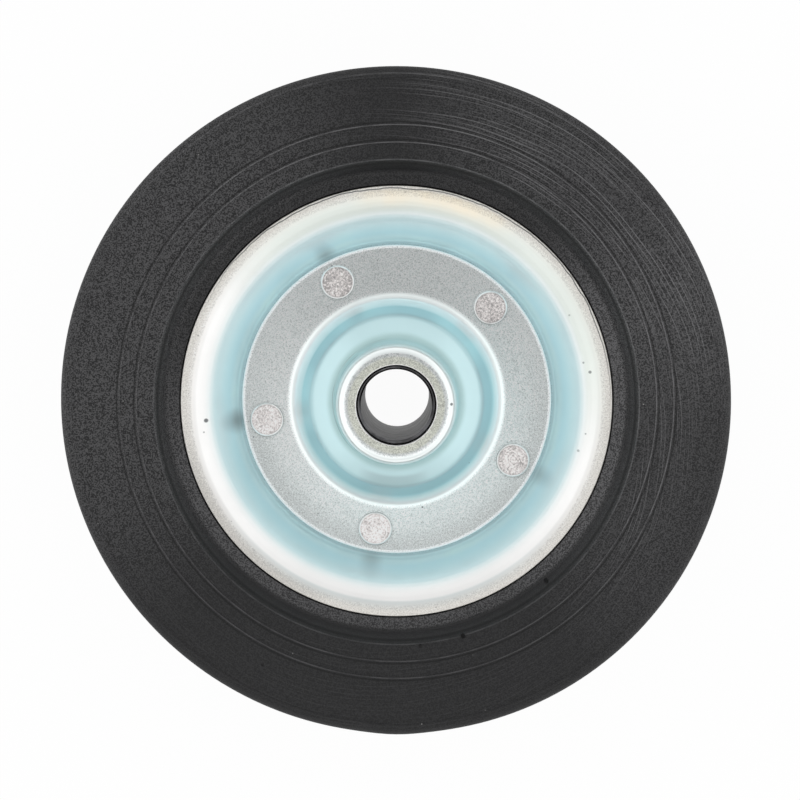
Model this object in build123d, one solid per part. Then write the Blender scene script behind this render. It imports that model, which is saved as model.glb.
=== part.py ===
from build123d import *
from math import atan2, radians, tan
import os

# Wheel of a jockey stand: a solid rubber tyre on a pressed steel rim with a riveted hub.
# The axle runs along Z, the origin is the middle of the wheel, and its front side faces +Z.
# Every size is in millimetres. A section is drawn with the radius as X and the height as Y.

# Whole wheel
tyre_width = 50.0
hub_length = 58.0
axle_hole_diameter = 21.0

# Tyre
tyre_depth = 35.0
tread_crown = 0.7
tread_shoulder_radius = 3.0
side_edge_radius = 0.8
bead_ring_width = 4.4
bead_ring_setback = 0.6
bead_ring_hollow_radius = 2.0
side_slope_width = 2.4
bead_toe_inset = 3.2
rib_height = 0.3
rib_foot_width = 1.0
rib_top_width = 0.4
first_rib_inset = 5.1
rib_pitch = 5.1
outer_rib_inset = 4.0

# Rim halves
rim_sheet = 1.5
rim_half_width = 17.5
rim_foot_width = 1.3
rim_foot_gap = 0.1
rim_wall_width = 8.1
rim_lip_width = 7.6
rim_lip_flat = 0.3
rim_web_overlap = 2.0

# Hub flanges
flange_sheet = 2.0
flange_edge_radius = 0.8
flange_land_width = 16.0
step_width = 5.5
step_height = 7.0
step_foot_radius = 4.0
step_top_radius = 2.5
cone_width = 8.7
cone_slope = 29.0
neck_hole_gap = 1.3
neck_end_width = 6.0
neck_end_radius = 3.0
neck_foot_radius = 5.0

# Hub sleeve
sleeve_clearance = 0.1
sleeve_edge_margin = 0.3
sleeve_bore_chamfer = 0.4

# Rivets
rivet_count = 5
rivet_edge_distance = 7.3
rivet_first_angle = 44.6
rivet_shank_diameter = 6.0
rivet_head_diameter = 10.4
rivet_seat_depth = 1.2
rivet_head_edge = 0.05
rivet_head_bevel = 0.4

# Radii and heights that follow from the sizes above
hub_end = hub_length / 2
bore_radius = axle_hole_diameter / 2
neck_hole = bore_radius + neck_hole_gap
neck_radius = neck_hole + neck_end_width
step_top = neck_radius + cone_width
step_foot = step_top + step_width
flange_radius = step_foot + flange_land_width
rivet_circle = flange_radius - rivet_edge_distance
rim_web_hole = step_foot - rim_web_overlap
rim_wall_foot = flange_radius + rim_foot_width
rim_wall_top = rim_wall_foot + rim_wall_width
rim_edge = rim_wall_top + rim_lip_width
rim_wall_slope = atan2(rim_half_width - rim_sheet, rim_wall_width)
rim_foot_radius = (rim_foot_width - rim_foot_gap) / tan(rim_wall_slope / 2)
rim_lip_radius = (rim_lip_width - rim_lip_flat) / tan(rim_wall_slope / 2)
tyre_radius = rim_edge + tyre_depth
tyre_side = tyre_width / 2
flange_face = rim_sheet + flange_sheet
bead_ring_height = rim_half_width - bead_ring_setback
bead_ring_edge = rim_edge + bead_ring_width
side_inner_edge = bead_ring_edge + side_slope_width
bead_toe = rim_wall_foot + bead_toe_inset
step_top_height = flange_face + step_height
cone_top_height = step_top_height + cone_width * tan(radians(cone_slope))
sleeve_end = hub_end - flange_sheet


def turned(section):
    """Turns a section once round the axle."""
    return revolve(Plane.XZ * section, Axis.Z)


def other_side(shape):
    """The same pressing on the rear side of the wheel."""
    return mirror(shape, about=Plane.XY)


def rounded(section, corners, radius):
    """Rounds the corners of a section that lie at the given points."""
    vertices = section.vertices()
    picked = [vertices.sort_by_distance(Vector(*corner))[0] for corner in corners]
    return fillet(picked, radius)


def rim_front_path():
    """The rim half's outer face, from the hole in its web to its lip, rounded but for a flat edge."""
    return FilletPolyline(
        (rim_web_hole, rim_sheet),
        (rim_wall_foot, rim_sheet),
        (rim_wall_top, rim_half_width),
        (rim_edge, rim_half_width),
        radius=[rim_foot_radius, rim_lip_radius],
    )


def rim_half():
    """One pressed half of the rim, its web on the middle plane of the wheel."""
    section = make_face(offset(rim_front_path(), amount=rim_sheet, side=Side.RIGHT))
    return turned(section)


def flange_front_path():
    """The hub flange's outer face, from the hole in its end down the neck and step to its rim."""
    return FilletPolyline(
        (neck_hole, hub_end),
        (neck_radius, hub_end),
        (neck_radius, cone_top_height),
        (step_top, step_top_height),
        (step_foot, flange_face),
        (flange_radius, flange_face),
        radius=[neck_end_radius, neck_foot_radius, step_top_radius, step_foot_radius],
    )


def hub_flange():
    """One stepped hub pressing, its land flat on the rim's web and its end turned in."""
    section = make_face(offset(flange_front_path(), amount=flange_sheet, side=Side.RIGHT))
    section = rounded(section, [(flange_radius, flange_face)], flange_edge_radius)
    return turned(section)


def rivet():
    """A rivet with both ends pressed nearly flush into countersunk seats."""
    shank = rivet_shank_diameter / 2
    head = rivet_head_diameter / 2
    seat = flange_face - rivet_seat_depth
    head_edge = flange_face + rivet_head_edge
    head_top = head_edge + rivet_head_bevel
    half_outline = Polyline(
        (0, 0),
        (shank, 0),
        (shank, seat),
        (head, flange_face),
        (head, head_edge),
        (head - rivet_head_bevel, head_top),
        (0, head_top),
        close=True,
    )
    half = revolve(Plane.XZ * make_face(half_outline), Axis.Z)
    return half + other_side(half)


def rivet_ring():
    """The rivets, evenly spaced on their circle, each a solid of its own."""
    places = PolarLocations(rivet_circle, rivet_count, start_angle=rivet_first_angle)
    return [place * rivet() for place in places]


def hub_sleeve():
    """The sleeve held between the turned-in ends of the two necks."""
    outer = neck_radius - flange_sheet - sleeve_clearance
    corner = max(neck_end_radius - flange_sheet, 0) + sleeve_edge_margin
    section = Polyline(
        (bore_radius, -sleeve_end + sleeve_bore_chamfer),
        (bore_radius + sleeve_bore_chamfer, -sleeve_end),
        (outer - corner, -sleeve_end),
        (outer, -sleeve_end + corner),
        (outer, sleeve_end - corner),
        (outer - corner, sleeve_end),
        (bore_radius + sleeve_bore_chamfer, sleeve_end),
        (bore_radius, sleeve_end - sleeve_bore_chamfer),
        close=True,
    )
    return turned(make_face(section))


def tyre_outline():
    """The tyre's section before it is fitted to the rim."""
    shoulder = tyre_radius - tread_crown
    side = Polyline(
        (bead_toe, 0),
        (bead_toe, bead_ring_height),
        (bead_ring_edge, bead_ring_height),
        (side_inner_edge, tyre_side),
        (shoulder, tyre_side),
    )
    tread = ThreePointArc((shoulder, tyre_side), (tyre_radius, 0), (shoulder, -tyre_side))
    section = make_face([*side.edges(), *tread.edges(), *mirror(side, about=Plane.XZ).edges()])
    hollows = [(bead_ring_edge, bead_ring_height), (bead_ring_edge, -bead_ring_height)]
    section = rounded(section, hollows, bead_ring_hollow_radius)
    section = rounded(section, [(side_inner_edge, tyre_side), (side_inner_edge, -tyre_side)], side_edge_radius)
    return rounded(section, [(shoulder, tyre_side), (shoulder, -tyre_side)], tread_shoulder_radius)


def side_rib(radius):
    """A moulded rib on the tyre's side, sunk in it by its own height."""
    foot = rib_foot_width / 2
    top = rib_top_width / 2
    outline = Polyline(
        (radius - foot, tyre_side - rib_height),
        (radius - foot, tyre_side),
        (radius - top, tyre_side + rib_height),
        (radius + top, tyre_side + rib_height),
        (radius + foot, tyre_side),
        (radius + foot, tyre_side - rib_height),
        close=True,
    )
    return make_face(outline)


def rim_cover():
    """The section of all that lies on the outer side of the tyre's seat on one rim half."""
    seat = offset(rim_front_path(), amount=rim_sheet, side=Side.RIGHT, closed=False)
    beyond = Polyline(
        (rim_edge, rim_half_width - rim_sheet),
        (rim_edge, tyre_width),
        (rim_web_hole, tyre_width),
        (rim_web_hole, 0),
    )
    return make_face([*seat.edges(), *beyond.edges()])


def tyre():
    """The solid rubber tyre, its bead filling the channel between the rim halves."""
    section = tyre_outline()
    rib_radii = [
        side_inner_edge + first_rib_inset,
        side_inner_edge + first_rib_inset + rib_pitch,
        tyre_radius - outer_rib_inset,
    ]
    for radius in rib_radii:
        rib = side_rib(radius)
        section += rib + mirror(rib, about=Plane.XZ)
    cover = rim_cover()
    section -= cover + mirror(cover, about=Plane.XZ)
    return turned(section)


def build():
    """Makes every piece in its place and gives them by name."""
    rivets = Compound(children=rivet_ring())
    rim = rim_half() - rivets
    flange = hub_flange() - rivets
    return {
        "tyre": tyre(),
        "front_rim_half": rim,
        "rear_rim_half": other_side(rim),
        "front_hub_flange": flange,
        "rear_hub_flange": other_side(flange),
        "rivets": rivets,
        "hub_sleeve": hub_sleeve(),
    }


os.makedirs("parts", exist_ok=True)
for name, shape in build().items():
    export_step(shape, f"parts/{name}.step")
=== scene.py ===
"""Jockey wheel: solid rubber tyre, zinc plated pressed rim and riveted hub, lying on its hub end."""
from math import atan2, cos, pi, radians, sin, tan

import bpy
import numpy as np
from bpy.props import FloatProperty, FloatVectorProperty, IntProperty, PointerProperty
from mathutils import Matrix, Vector


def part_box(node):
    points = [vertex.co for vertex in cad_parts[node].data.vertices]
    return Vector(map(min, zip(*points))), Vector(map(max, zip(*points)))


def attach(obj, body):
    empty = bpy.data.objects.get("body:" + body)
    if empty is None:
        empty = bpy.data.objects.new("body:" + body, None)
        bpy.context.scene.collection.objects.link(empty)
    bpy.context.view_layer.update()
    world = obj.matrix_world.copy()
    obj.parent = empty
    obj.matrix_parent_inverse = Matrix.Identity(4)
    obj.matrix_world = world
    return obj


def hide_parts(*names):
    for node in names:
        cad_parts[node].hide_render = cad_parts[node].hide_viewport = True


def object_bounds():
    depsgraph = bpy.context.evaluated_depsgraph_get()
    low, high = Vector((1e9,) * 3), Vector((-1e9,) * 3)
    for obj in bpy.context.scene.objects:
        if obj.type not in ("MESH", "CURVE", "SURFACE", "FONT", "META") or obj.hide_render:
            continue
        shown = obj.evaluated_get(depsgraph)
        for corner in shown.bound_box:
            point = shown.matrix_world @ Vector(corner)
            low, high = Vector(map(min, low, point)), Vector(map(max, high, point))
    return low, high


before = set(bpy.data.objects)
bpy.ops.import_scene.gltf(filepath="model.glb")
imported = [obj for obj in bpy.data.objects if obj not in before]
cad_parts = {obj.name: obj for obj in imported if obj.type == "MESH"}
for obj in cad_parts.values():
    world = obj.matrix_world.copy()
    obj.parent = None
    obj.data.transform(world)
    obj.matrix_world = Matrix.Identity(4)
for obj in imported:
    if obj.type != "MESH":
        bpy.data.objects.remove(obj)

bl_info = {
    "name": "Jockey Wheel",
    "version": (1, 0, 0),
    "blender": (4, 5, 0),
    "location": "3D View > Sidebar > Wheel",
    "description": "Makes a jockey wheel's tyre, rim halves, hub flanges, rivets and axle sleeve",
    "category": "Add Mesh",
}

MM = 0.001
WHITE = (1.0, 1.0, 1.0)

# A rounding's spans, the radius up to which it has fewer, how close to its ends the faces beside it get
# a point, and how close two points may lie
ROUND_STEPS = 9
SMALL_ROUND = 0.3 * MM
GUARD = 0.12 * MM
LEAST_STEP = 0.005 * MM

# How finely each piece is divided: steps round its line, and the longest span of its section
TYRE_TURNS, TYRE_PACE = 224, 1.6 * MM
RIM_TURNS, RIM_PACE = 272, 0.6 * MM
HUB_TURNS, HUB_PACE = 272, 0.5 * MM
RIVET_TURNS, RIVET_PACE = 48, 0.5 * MM
SLEEVE_TURNS, SLEEVE_PACE = 192, 1.5 * MM

# The tyre's spans over half its tread, the half width of its low swelling, its small roundings and its
# gap beside the rim's lip
CROWN_STEPS = 8
BULGE_WIDTH = 9 * MM
RIB_ROUND = 0.15 * MM
SIDE_EDGE_ROUND = 0.8 * MM
RING_HOLLOW_ROUND = 2.0 * MM
TOE_ROUND = 0.3 * MM
LIP_GAP = 0.4 * MM
GAP_ROUND = 0.12 * MM

# A rivet's roundings, from its waist to its top, and the radius of the ring that closes its top
RIVET_ROUNDS = (0.0, 0.2 * MM, 0.1 * MM, 0.12 * MM, 0.15 * MM, 0.0)
RIVET_POLE = 0.01 * MM
CHAMFER_ROUND = 0.12 * MM

PACKED_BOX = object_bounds()


def packed_radius(node):
    """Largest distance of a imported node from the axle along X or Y, to a tenth of a millimetre."""
    low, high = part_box(node)
    return round(max(high.x, high.y, -low.x, -low.y), 4)


def packed_top(node):
    """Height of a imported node's highest point, to a twentieth of a millimetre."""
    return round(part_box(node)[1].z / (0.05 * MM)) * 0.05 * MM


# Sizes and colours that a user changes


def length(name, description, default):
    """A length, in metres."""
    return FloatProperty(
        name=name, description=description, default=default, min=0.0, unit="LENGTH", precision=5
    )


def share(name, description, default):
    """A share between nothing and all."""
    return FloatProperty(
        name=name, description=description, default=default, min=0.0, max=1.0, subtype="FACTOR"
    )


def colour(name, description, default):
    """A colour of a finish, in linear red, green and blue."""
    return FloatVectorProperty(
        name=name, description=description, default=default, min=0.0, max=1.0, size=3, subtype="COLOR"
    )


class TyreSizes(bpy.types.PropertyGroup):
    """Sizes and colours of the tyre."""

    radius: length("Radius", "From the axle to the middle of the tread", packed_radius("tyre"))
    rib_height: length("Rib height", "How far the ribs stand out of the tyre's side", 0.3 * MM)
    side_height: length("Half width", "From the middle plane to the side", packed_top("tyre") - 0.3 * MM)
    crown: length("Crown", "How much lower the tread is at its edges", 0.7 * MM)
    shoulder: length("Shoulder", "Rounding between the tread and the side", 3.0 * MM)
    ring_width: length("Ring width", "Flat ring of rubber beside the rim's lip", 4.4 * MM)
    ring_drop: length("Ring drop", "How far that ring lies below the lip", 0.6 * MM)
    slope_width: length("Slope width", "From the ring out to the side's inner edge", 2.4 * MM)
    toe: length("Bead toe", "Radius of the rubber's innermost face", 52.5 * MM)
    rib_width: length("Rib width", "Width of a rib at its foot", 1.0 * MM)
    first_rib: length("First rib", "Radius of the innermost rib", 76.9 * MM)
    second_rib: length("Second rib", "Radius of the next rib", 82.0 * MM)
    outer_rib: length("Outer rib", "Radius of the rib near the tread", 96.0 * MM)
    bulge: length("Bulge", "Height of the low swelling on the tread's lower edge", 0.4 * MM)
    rubber: colour("Rubber", "Colour of the bare rubber", (0.0120, 0.0120, 0.0126))
    # The dust colour is also the colour of the painted light and highlights on the rubber
    dust: colour("Dust", "Colour of the dust in the rubber's grain", (0.150, 0.149, 0.153))


class RimSizes(bpy.types.PropertyGroup):
    """Sizes and colours of the two rim halves."""

    lip_radius: length("Lip radius", "Radius of the lip's edge", packed_radius("front_rim_half"))
    half_width: length("Half width", "From the middle plane to the lip", packed_top("front_rim_half"))
    sheet: length("Sheet", "Thickness of the pressed sheet", 1.5 * MM)
    web_hole: length("Web hole", "Radius of the hole in the web, behind the hub", 30.0 * MM)
    wall_foot: length("Wall foot", "Radius at which the wall rises from the web", 49.3 * MM)
    foot_width: length("Foot width", "From the hub's edge to the corner at the wall's foot", 1.3 * MM)
    foot_gap: length("Foot gap", "From the hub's edge to where the wall's foot starts to round", 0.1 * MM)
    lip_width: length("Lip width", "From the wall's top corner to the lip's edge", 7.6 * MM)
    lip_flat: length("Lip flat", "Narrow flat at the lip's edge, outside its wide rounding", 0.3 * MM)
    edge_round: length("Edge rounding", "Rounding of the cut edges", 0.25 * MM)
    lip_drop: length("Lip drop", "How much lower the lip's face is at its edge", 0.12 * MM)
    bare_zinc: colour("Zinc", "Plating on the upper wall", (0.97, 0.965, 0.955))
    lip_zinc: colour("Lip zinc", "Plating on the lip, a little warm", (0.90, 0.875, 0.82))
    blue_zinc: colour("Blue zinc", "Plating at the foot of the wall", (0.70, 0.93, 0.985))
    stain: colour("Stain", "Cream passivation left near the lip's top", (0.93, 0.85, 0.70))
    wall_roughness: share("Wall roughness", "Roughness of the drawn wall", 0.40)
    lip_roughness: share("Lip roughness", "Roughness of the lip's face", 0.40)


class HubSizes(bpy.types.PropertyGroup):
    """Sizes and colours of the two hub flanges."""

    radius: length("Radius", "Radius of the flange's edge", packed_radius("front_hub_flange"))
    end_height: length("End height", "From the middle plane to the end", packed_top("front_hub_flange"))
    sheet: length("Sheet", "Thickness of the pressed sheet", 2.0 * MM)
    land_width: length("Land width", "Flat ring that carries the rivets", 16.0 * MM)
    step_width: length("Step width", "How far the step runs in", 5.5 * MM)
    step_height: length("Step height", "How far the step rises", 7.0 * MM)
    cone_width: length("Cone width", "From the top of the step to the neck", 8.7 * MM)
    cone_slope: FloatProperty(
        name="Cone slope", description="Slope of the cone between step and neck", default=radians(29.0),
        min=0.0, max=radians(80.0), subtype="ANGLE",
    )
    end_hole: length("End hole", "Radius of the hole in the hub's end", 11.8 * MM)
    end_round: length("End rounding", "Rounding between the neck and its end", 3.0 * MM)
    neck_round: length("Neck foot rounding", "Rounding between the neck and the cone", 5.0 * MM)
    step_top_round: length("Step top rounding", "Rounding over the step", 2.5 * MM)
    step_foot_round: length("Step foot rounding", "Rounding between the step and the land", 4.0 * MM)
    edge_round: length("Edge rounding", "Rounding of the flange's cut edges", 0.25 * MM)
    edge_width: length("Edge width", "Width of the worn edge round the land", 0.60 * MM)
    edge_fall: length("Edge fall", "How far that edge falls", 0.24 * MM)
    bare_zinc: colour("Zinc", "Plating on the land and the roundings", (0.93, 0.985, 0.98))
    blue_zinc: colour("Blue zinc", "Plating on the cone, with its blue cast", (0.62, 0.84, 0.87))
    deep_zinc: colour("Deep zinc", "Plating on the step, dull and bluer", (0.49, 0.665, 0.70))
    warm_zinc: colour("Warm zinc", "Plating on the flat ring of the hub's end", (0.83, 0.85, 0.76))
    land_rise: length("Land rise", "How much higher the land is at its inner edge", 0.40 * MM)
    wall_roughness: share("Wall roughness", "Roughness of the drawn neck, cone and step", 0.30)
    land_roughness: share("Land roughness", "Roughness of the flat land and the end ring", 0.25)
    land_tone: share("Land tone", "How bright the flats are beside the drawn walls", 0.94)


class RivetSizes(bpy.types.PropertyGroup):
    """Sizes and colour of the rivets."""

    count: IntProperty(name="Count", description="Number of rivets on their circle", default=5, min=1)
    circle: length("Circle", "Radius of the rivets' circle", 40.7 * MM)
    first_angle: FloatProperty(
        name="First angle", description="Angle of the first rivet from the X axis", default=radians(44.6),
        subtype="ANGLE",
    )
    shank: length("Shank", "Radius of the shank", 3.0 * MM)
    head: length("Head", "Radius of the pressed head", 5.2 * MM)
    seat: length("Seat", "Depth of the countersunk seat", 1.2 * MM)
    rise: length("Rise", "How far the head stands out of the land", 0.45 * MM)
    bevel: length("Bevel", "Width of the head's bevel", 0.4 * MM)
    steel: colour("Steel", "Colour of the pressed heads", (0.74, 0.70, 0.69))
    # Colour of the painted highlight on the bevel
    bevel_highlight: colour("Bevel steel", "Colour of the bright bevel round a head", (0.98, 0.97, 0.96))


class SleeveSizes(bpy.types.PropertyGroup):
    """Sizes and colour of the axle sleeve."""

    bore: length("Bore", "Radius of the hole for the axle", 10.5 * MM)
    radius: length("Radius", "Outer radius of the sleeve", packed_radius("hub_sleeve"))
    end_height: length("End height", "From the middle plane to the end", packed_top("hub_sleeve"))
    chamfer: length("Chamfer", "Chamfer at each end of the bore", 0.4 * MM)
    corner: length("Corner", "Chamfer at each end of the outside", 1.3 * MM)
    plastic: colour("Plastic", "Colour of the sleeve", (0.075, 0.075, 0.08))


class StageSettings(bpy.types.PropertyGroup):
    """Floor, light and camera."""

    camera_place: FloatVectorProperty(
        name="Camera place", description="Where the camera stands", default=(0.0020, 0.0282, 0.4597),
        unit="LENGTH", size=3, precision=5,
    )
    camera_aim: FloatVectorProperty(
        name="Camera direction", description="The way the camera looks", subtype="DIRECTION", size=3,
        default=(-0.0021, -0.0617, -0.9981),
    )
    lens: FloatProperty(name="Lens", description="Focal length in millimetres", default=66.3, min=1.0)
    floor_half_width: length("Floor half width", "From the middle of the floor to its edge", 6.0)
    floor_glow: share("Floor glow", "How much of the floor's brightness takes no shadow", 0.96)
    sky: FloatProperty(name="Sky", description="Strength of the soft light from above", default=1.0, min=0.0)
    dim_patch: share("Dim patch", "How much dimmer the tent is in its patch towards +Y", 0.38)


PROPERTY_GROUPS = {
    "tyre": TyreSizes,
    "rim": RimSizes,
    "hub": HubSizes,
    "rivets": RivetSizes,
    "sleeve": SleeveSizes,
    "stage": StageSettings,
}


class WheelSettings(bpy.types.PropertyGroup):
    """All sizes and colours of the wheel and its stage."""

    tyre: PointerProperty(type=TyreSizes)
    rim: PointerProperty(type=RimSizes)
    hub: PointerProperty(type=HubSizes)
    rivets: PointerProperty(type=RivetSizes)
    sleeve: PointerProperty(type=SleeveSizes)
    stage: PointerProperty(type=StageSettings)


# Sections and surfaces


def rounded_loop(corners, radii, pace):
    """Closed section with rounded corners, as points of (radius, height), going counter-clockwise.

    At a corner the path turns by an angle a. An arc of radius r replaces the corner from r tan(a / 2)
    before it to as far after it. The arc's points are its centre plus r times a unit vector that turns
    evenly by a, and of a small rounding's points each third is kept. Longer spans get a point at least
    every pace, and one close to each end of an arc, so that the shading of a flat face stays flat up to
    its rounding.
    """
    corners = np.asarray(corners, float)
    radii = np.asarray(radii, float)
    into = corners - np.roll(corners, 1, axis=0)
    into /= np.linalg.norm(into, axis=1, keepdims=True)
    out = np.roll(into, -1, axis=0)
    turn = np.arctan2(into[:, 0] * out[:, 1] - into[:, 1] * out[:, 0], (into * out).sum(axis=1))
    run = radii * np.abs(np.tan(turn / 2))
    left = np.stack([-into[:, 1], into[:, 0]], axis=1)
    inward = left * np.sign(turn)[:, None]
    centre = corners - into * run[:, None] + inward * radii[:, None]
    spin = turn[:, None] * np.linspace(0.0, 1.0, ROUND_STEPS + 1)
    spoke_x = -inward[:, :1] * np.cos(spin) + inward[:, 1:] * np.sin(spin)
    spoke_y = -inward[:, :1] * np.sin(spin) - inward[:, 1:] * np.cos(spin)
    arcs = centre[:, None] + np.stack([spoke_x, spoke_y], axis=2) * radii[:, None, None]
    path = arcs.reshape(-1, 2)
    path = np.vstack([path, path[:1]])
    gone = np.append(0.0, np.cumsum(np.linalg.norm(np.diff(path, axis=0), axis=1)))
    steps = gone[:-1].reshape(len(corners), -1)
    kept = steps[(radii[:, None] > SMALL_ROUND) | (np.arange(ROUND_STEPS + 1) % 3 == 0)]
    even = np.arange(0.0, gone[-1], pace)
    marks = np.concatenate([kept, even, steps[:, 0] - GUARD, steps[:, -1] + GUARD])
    marks = np.unique(marks[(marks >= 0) & (marks < gone[-1] - LEAST_STEP)])
    marks = marks[np.append(True, np.diff(marks) > LEAST_STEP)]
    return np.stack([np.interp(marks, gone, path[:, 0]), np.interp(marks, gone, path[:, 1])], axis=1)


def sheet_loop(front, radii, sheet, edge_round, pace):
    """Closed section of a pressed sheet, from the corners of its front face, inner end first.

    The back face has the same corners moved by the sheet's thickness t. Between faces with normals m
    and n a corner p moves to p + t (m + n) / (1 + m.n). The back's rounding is wider by t where the
    sheet bends up and narrower by t where it bends down.
    """
    front = np.asarray(front, float)
    along = np.diff(front, axis=0)
    along /= np.linalg.norm(along, axis=1, keepdims=True)
    below = np.stack([along[:, 1], -along[:, 0]], axis=1)
    before = np.vstack([below[:1], below])
    after = np.vstack([below, below[-1:]])
    back = front + sheet * (before + after) / (1 + (before * after).sum(axis=1, keepdims=True))
    bend = along[:-1, 0] * along[1:, 1] - along[:-1, 1] * along[1:, 0]
    back_radii = np.asarray(radii) + sheet * np.sign(bend)
    ends = [edge_round]
    loop = np.vstack([back, front[::-1]])
    front_radii = np.asarray(radii)[::-1]
    return rounded_loop(loop, np.concatenate([ends, back_radii, ends, ends, front_radii, ends]), pace)


def turned_grid(loop, turns):
    """Grid of points of a section carried round the axle: (r cos a, r sin a, z) for even angles a."""
    angle = np.arange(turns)[:, None] * (2 * pi / turns)
    radius, height = loop[None, :, 0], loop[None, :, 1]
    return np.stack([radius * np.cos(angle), radius * np.sin(angle), height + 0 * angle], axis=2)


def closed_quads(rows, columns):
    """Quads between neighbours of a grid that closes on itself both ways."""
    row, column = np.meshgrid(np.arange(rows), np.arange(columns), indexing="ij")
    next_row, next_column = (row + 1) % rows, (column + 1) % columns
    quads = np.stack([
        row * columns + column,
        next_row * columns + column,
        next_row * columns + next_column,
        row * columns + next_column,
    ], axis=2)
    return quads.reshape(-1, 4)


def turned_surface(loop, turns):
    """Points and quads of a section turned once round the axle."""
    return turned_grid(loop, turns).reshape(-1, 3), closed_quads(turns, len(loop))


def mirrored(points, quads):
    """The same surface on the other side of the middle plane, its faces still outwards."""
    return points * (1, 1, -1), quads[:, ::-1]


def new_piece(name, points, quads):
    """Puts a surface into a smooth mesh and gives its object, at the origin and unturned."""
    mesh = bpy.data.meshes.new(name)
    mesh.vertices.add(len(points))
    mesh.vertices.foreach_set("co", np.ascontiguousarray(points, np.float32).ravel())
    mesh.loops.add(quads.size)
    mesh.loops.foreach_set("vertex_index", np.ascontiguousarray(quads, np.int32).ravel())
    mesh.polygons.add(len(quads))
    mesh.polygons.foreach_set("loop_start", np.arange(0, quads.size, quads.shape[1], dtype=np.int32))
    mesh.polygons.foreach_set("use_smooth", np.ones(len(quads), bool))
    mesh.update(calc_edges=True)
    if mesh.validate():
        raise RuntimeError(f"{name} has faces that don't hold together")
    piece = bpy.data.objects.new(name, mesh)
    bpy.context.scene.collection.objects.link(piece)
    return piece


def dress(piece, material, node):
    """Finishes a piece: its material, the body it rides on and the node it stands for."""
    piece.data.materials.append(material)
    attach(piece, "root")
    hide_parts(node)


# Materials


class Value:
    """A number in a node tree. Arithmetic with it adds the nodes that work the result out."""

    def __init__(self, wiring, socket):
        self.wiring, self.socket = wiring, socket

    def __add__(self, other):
        return self.wiring.number("ADD", self, other)

    def __mul__(self, other):
        return self.wiring.number("MULTIPLY", self, other)

    def __sub__(self, other):
        return self.wiring.number("SUBTRACT", self, other)

    def __rsub__(self, other):
        return self.wiring.number("SUBTRACT", other, self)

    def __abs__(self):
        return self.wiring.number("ABSOLUTE", self)

    __radd__, __rmul__ = __add__, __mul__

    def most(self, other):
        """The greater of this number and another."""
        return self.wiring.number("MAXIMUM", self, other)

    def fade(self, low, high, to_low=0.0, to_high=1.0):
        """Smooth rise from to_low to to_high while the number goes from low to high."""
        wires = {0: self, 1: low, 2: high, 3: to_low, 4: to_high}
        return Value(self.wiring, self.wiring.add("MapRange", wires, interpolation_type="SMOOTHSTEP")[0])


class Wiring:
    """Puts nodes into one node tree and joins them."""

    def __init__(self, tree):
        self.tree = tree
        tree.nodes.clear()

    def add(self, kind, wires=None, **options):
        """Adds a node and gives its outputs. Wires are its inputs, from other nodes or fixed."""
        node = self.tree.nodes.new("ShaderNode" + kind)
        for option, setting in options.items():
            setattr(node, option, setting)
        for key, wire in (wires or {}).items():
            wire = getattr(wire, "socket", wire)
            if isinstance(wire, bpy.types.NodeSocket):
                self.tree.links.new(wire, node.inputs[key])
            else:
                node.inputs[key].default_value = wire
        return node.outputs

    def number(self, operation, *values, clamp=False):
        """One step of arithmetic on numbers."""
        wires = dict(enumerate(values))
        return Value(self, self.add("Math", wires, operation=operation, use_clamp=clamp)[0])

    def vector(self, operation, first, second=(0.0, 0.0, 0.0)):
        """One step of arithmetic on vectors, which gives a vector or a number."""
        outputs = self.add("VectorMath", {0: first, 1: second}, operation=operation)
        if operation in ("DISTANCE", "DOT_PRODUCT", "LENGTH"):
            return Value(self, outputs["Value"])
        return outputs["Vector"]

    def point(self, x, y, z):
        """A vector from three numbers."""
        return self.add("CombineXYZ", {0: x, 1: y, 2: z})[0]

    def parts(self, vector):
        """The three numbers of a vector."""
        return [Value(self, part) for part in self.add("SeparateXYZ", {0: vector})]

    def noise(self, vector, scale, detail=2.0, roughness=0.5, distortion=0.0):
        """Soft noise between 0 and 1, with scale cells to the metre."""
        wires = {"Vector": vector, "Scale": scale, "Detail": detail, "Distortion": distortion}
        return Value(self, self.add("TexNoise", {**wires, "Roughness": roughness})[0])

    def blend(self, amount, first, second, how="MIX"):
        """Mixes two colours, each from a node or fixed as red, green and blue."""
        wires = {0: amount}
        for key, tint in ((6, first), (7, second)):
            wires[key] = tint if isinstance(tint, bpy.types.NodeSocket) else (*tint, 1.0)
        return self.add("Mix", wires, data_type="RGBA", blend_type=how)[2]

    def toned(self, colour, tone):
        """A colour times a number."""
        return self.blend(1.0, colour, self.point(tone, tone, tone), "MULTIPLY")

    def bump(self, height, distance, normal=None):
        """Relief that stands out by the distance, in metres."""
        wires = {"Height": height, "Distance": distance, "Strength": 1.0}
        if normal is not None:
            wires["Normal"] = normal
        return self.add("Bump", wires)[0]

    def surface(self, shader):
        """Sends a shader to the material's or the world's output."""
        kind = "OutputWorld" if shader.node.bl_idname == "ShaderNodeBackground" else "OutputMaterial"
        self.add(kind, {"Surface": shader})

    def finish(self, base, wires):
        """Gives the material its surface, from its colour and the shader's other inputs."""
        self.surface(self.add("BsdfPrincipled", {"Base Color": base, **wires})[0])


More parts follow.
